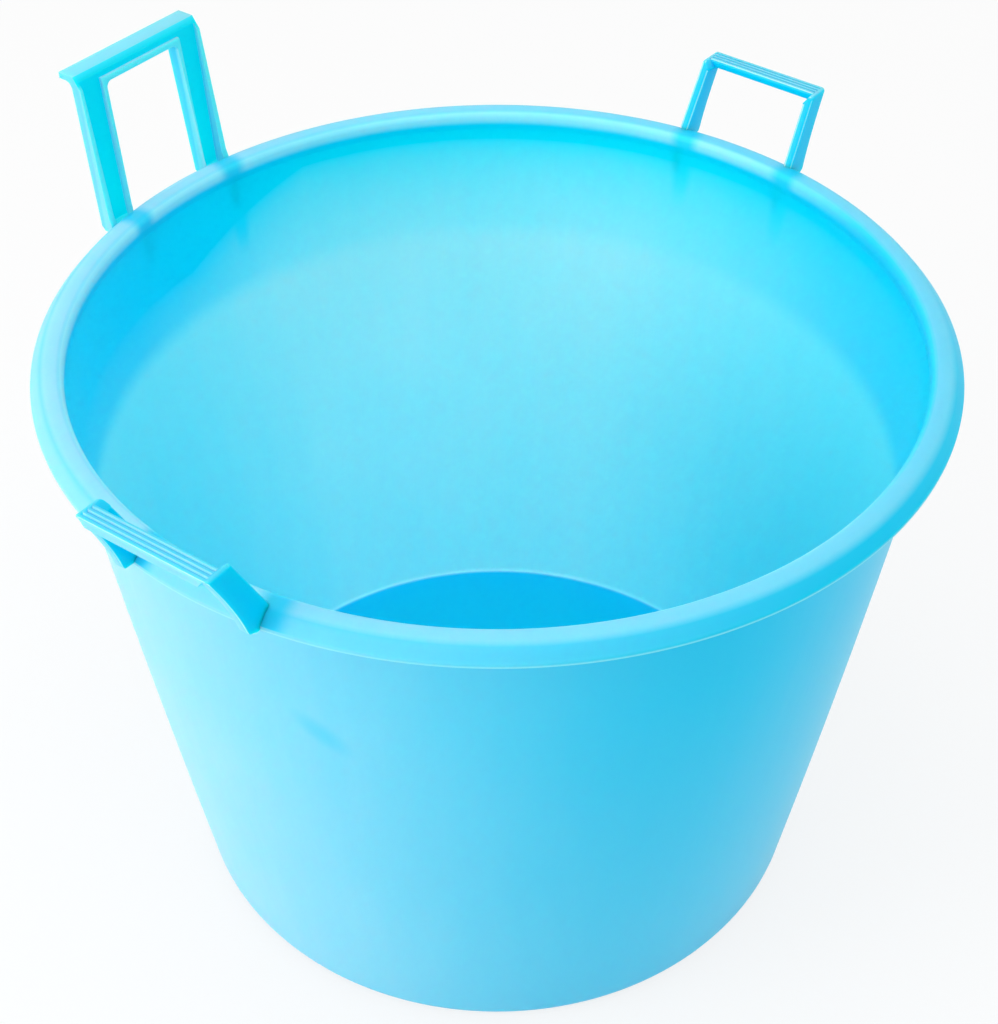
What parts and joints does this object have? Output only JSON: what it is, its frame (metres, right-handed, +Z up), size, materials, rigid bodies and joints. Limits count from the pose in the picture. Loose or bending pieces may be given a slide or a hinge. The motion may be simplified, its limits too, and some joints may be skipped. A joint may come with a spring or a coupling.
{
  "type": "cement tub",
  "caption": "Round tapered mixing tub in translucent polyethylene, with a flared rim, strap handles for carrying and a taller channel handle for tipping.",
  "frame": {"origin": "on the ground, under the middle of the round tub", "axes": "+Z up along the tub's axis, +Y towards the tall handle, +X towards the right carrying handle; the bare pouring side is at -Y"},
  "size_m": [0.6042, 0.573, 0.499],
  "materials": {
    "polyethylene": "light cyan low-density polyethylene, moulded, translucent with a satin skin"
  },
  "bodies": {
    "root": {"base_ring": "polyethylene", "floor_panel": "polyethylene", "tub_wall": "polyethylene", "rim_crown": "polyethylene", "rim_skirt": "polyethylene", "right_grip": "polyethylene", "right_front_leg": "polyethylene", "right_rear_leg": "polyethylene", "right_front_web": "polyethylene", "right_rear_web": "polyethylene", "left_grip": "polyethylene", "left_front_leg": "polyethylene", "left_rear_leg": "polyethylene", "left_front_web": "polyethylene", "left_rear_web": "polyethylene", "tall_grip": "polyethylene", "tall_right_leg": "polyethylene", "tall_left_leg": "polyethylene", "tall_right_web": "polyethylene", "tall_left_web": "polyethylene"}
  },
  "joints": []
}
